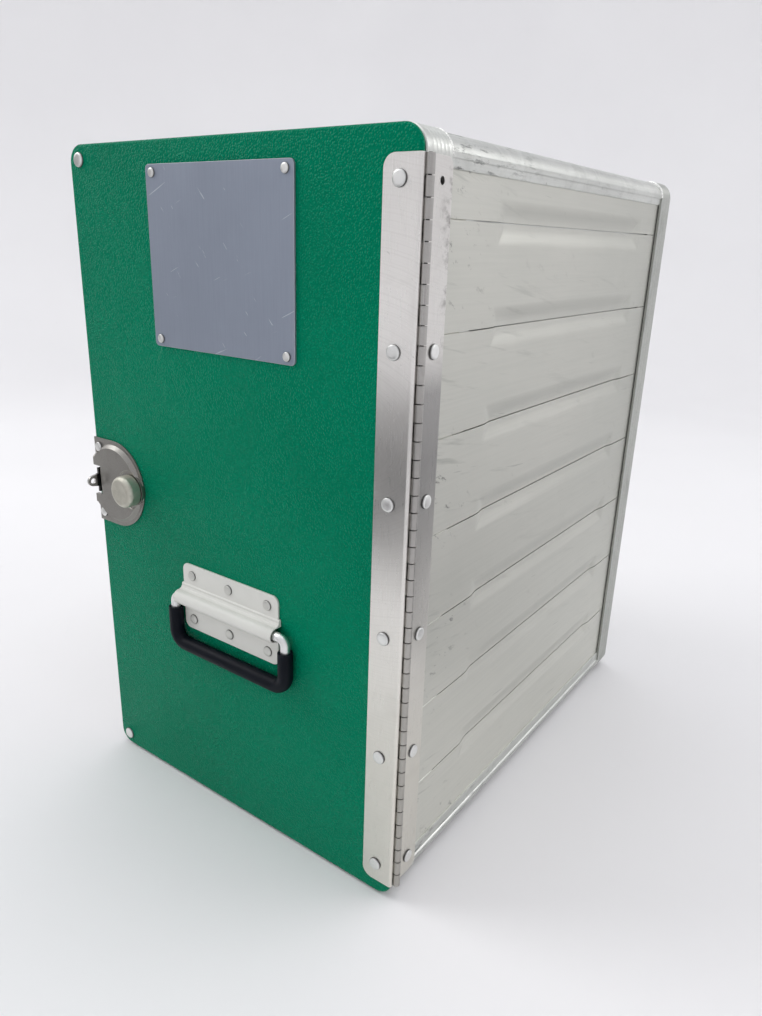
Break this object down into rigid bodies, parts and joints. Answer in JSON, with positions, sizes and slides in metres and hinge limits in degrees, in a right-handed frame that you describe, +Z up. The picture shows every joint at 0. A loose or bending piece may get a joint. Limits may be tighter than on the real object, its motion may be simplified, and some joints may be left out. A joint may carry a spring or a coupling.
{
  "type": "galley container",
  "caption": "Upright aluminium galley container with a hinged pebbled door, round-knob latch, card plate, drop handle and tray runners.",
  "frame": {"origin": "centre of the body's flat bottom face, at the middle of the body's width and depth (door and handle not counted)", "axes": "+Z up; the door faces -Y; +X is the hinge side"},
  "size_m": [0.2862, 0.4039, 0.4664],
  "materials": {
    "frame": "satin",
    "rail": "satin",
    "sheet": "matt satin, scuffed",
    "weld": "rough bright",
    "runner": "satin",
    "striker": "brushed",
    "hinge_leaf": "swirl-polished",
    "hinge_pin": "bright",
    "rivet": "bright",
    "door_skin": "pebbled, semi-gloss",
    "gasket": "matt",
    "card_plate": "satin, scratched",
    "handle_bracket": "satin",
    "latch_cover": "worn satin",
    "latch_steel": "plain",
    "handle_rod": "bright",
    "grip": "satin",
    "latch_knob": "worn satin"
  },
  "bodies": {
    "body": {"front_frame": "frame", "rear_frame": "frame", "top_left_rail": "rail", "top_right_rail": "rail", "bottom_left_rail": "rail", "bottom_right_rail": "rail", "left_side_panel": "sheet", "right_side_panel": "sheet", "top_panel": "sheet", "bottom_panel": "sheet", "rear_panel": "sheet", "weld_beads": "weld", "left_runners": "runner", "right_runners": "runner", "striker": "striker", "hinge_body_leaf": "hinge_leaf", "hinge_pin": "hinge_pin", "hinge_body_rivets": "rivet"},
    "door": {"door_panel": "door_skin", "door_inner_pan": "sheet", "door_gasket": "gasket", "hinge_door_leaf": "hinge_leaf", "hinge_door_rivets": "rivet", "card_plate": "card_plate", "card_plate_rivets": "rivet", "door_corner_rivets": "rivet", "handle_bracket": "handle_bracket", "handle_rivets": "rivet", "handle_backing_plate": "sheet", "latch_cover": "latch_cover", "latch_rivets": "rivet", "latch_housing": "latch_steel"},
    "handle": {"handle_rod": "handle_rod", "handle_grip": "grip"},
    "latch_knob": {"latch_knob": "latch_knob", "latch_crank": "latch_steel"},
    "latch_bolt": {"latch_bolt": "latch_steel"}
  },
  "joints": [
    {"name": "door_hinge", "type": "hinge", "parent": "body", "child": "door", "pos_m": [0.1429, -0.1935, 0], "axis": [0, 0, 1], "range_deg": [0, 180]},
    {"name": "handle_swing", "type": "hinge", "parent": "door", "child": "handle", "pos_m": [0, -0.203, 0.1665], "axis": [-1, 0, 0], "range_deg": [0, 175]},
    {"name": "knob_turn", "type": "hinge", "parent": "door", "child": "latch_knob", "pos_m": [-0.0975, -0.1973, 0.235], "axis": [0, -1, 0], "range_deg": [0, 90]},
    {"name": "bolt_slide", "type": "slide", "parent": "door", "child": "latch_bolt", "axis": [-1, 0, 0], "range_m": [0, 0.0055]}
  ],
  "couplings": [
    {"joint": "bolt_slide", "follows": "knob_turn", "m_per_rad": 0.0035014}
  ]
}
